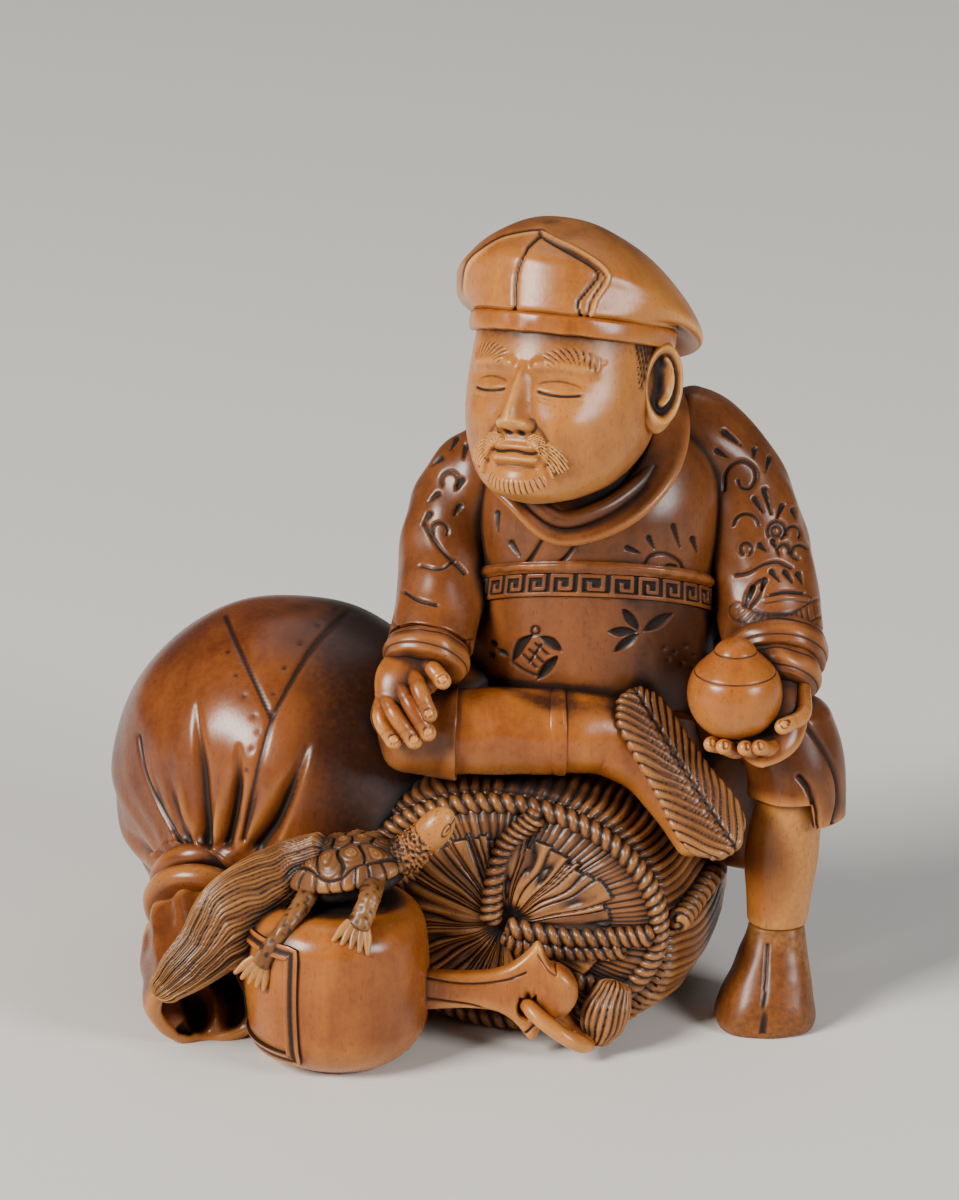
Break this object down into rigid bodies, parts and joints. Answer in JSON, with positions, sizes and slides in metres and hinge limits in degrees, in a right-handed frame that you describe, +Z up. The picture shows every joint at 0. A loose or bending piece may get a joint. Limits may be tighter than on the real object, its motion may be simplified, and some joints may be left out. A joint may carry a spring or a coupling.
{
  "type": "netsuke",
  "caption": "Carved wooden netsuke: a seated figure in a soft cap holds a jewel on a straw rice bale, with a full sack behind and a mallet and long-tailed turtle in front.",
  "frame": {"origin": "middle of the carving's footprint, on the plane that it stands on", "axes": "+Z up through the figure's cap, +X to the viewer's right when facing the mallet and the turtle, +Y away from the viewer, towards the figure's back"},
  "size_m": [0.0352, 0.0254, 0.0392],
  "materials": {
    "straw_wood": "boxwood stained dark brown, carved as straw, half gloss",
    "golden_wood": "polished golden brown boxwood, half gloss",
    "turtle_wood": "brown boxwood, finely carved, half gloss",
    "pale_wood": "polished pale golden boxwood, half gloss",
    "robe_wood": "polished boxwood stained reddish brown, half gloss",
    "sack_wood": "polished boxwood stained deep red brown, glossy",
    "dark_inlay": "small polished inlay of very dark hardwood, glossy"
  },
  "bodies": {
    "root": {"bale_body": "straw_wood", "bale_end": "straw_wood", "rim_rope": "straw_wood", "upper_lashing": "straw_wood", "side_lashing": "straw_wood", "lower_lashing": "straw_wood", "tassel": "straw_wood", "right_sandal_sole": "straw_wood", "mallet_head": "golden_wood", "mallet_panel": "golden_wood", "mallet_handle": "golden_wood", "mallet_strap": "golden_wood", "turtle_shell": "turtle_wood", "turtle_belly": "turtle_wood", "turtle_tail": "turtle_wood", "turtle_near_front_leg": "turtle_wood", "turtle_far_front_leg": "turtle_wood", "turtle_near_hind_leg": "turtle_wood", "turtle_far_hind_leg": "turtle_wood", "turtle_head": "pale_wood", "turtle_near_eye": "dark_inlay", "turtle_far_eye": "dark_inlay", "head": "pale_wood", "cap_crown": "pale_wood", "cap_band": "golden_wood", "right_hand": "golden_wood", "left_hand": "golden_wood", "jewel": "golden_wood", "right_foot": "golden_wood", "right_ankle_band": "golden_wood", "right_legging": "golden_wood", "left_boot": "golden_wood", "left_legging": "golden_wood", "robe_collar": "robe_wood", "inner_collar": "robe_wood", "right_cuff": "robe_wood", "left_inner_cuff": "robe_wood", "left_outer_cuff": "robe_wood", "right_sleeve": "robe_wood", "left_sleeve": "robe_wood", "right_trouser": "robe_wood", "left_trouser": "robe_wood", "belt": "robe_wood", "fret_band": "robe_wood", "robe_chest": "robe_wood", "robe_belly": "robe_wood", "robe_skirt": "robe_wood", "sack_body": "sack_wood", "upper_tie_roll": "sack_wood", "lower_tie_roll": "sack_wood", "sack_mouth": "sack_wood"}
  },
  "joints": []
}
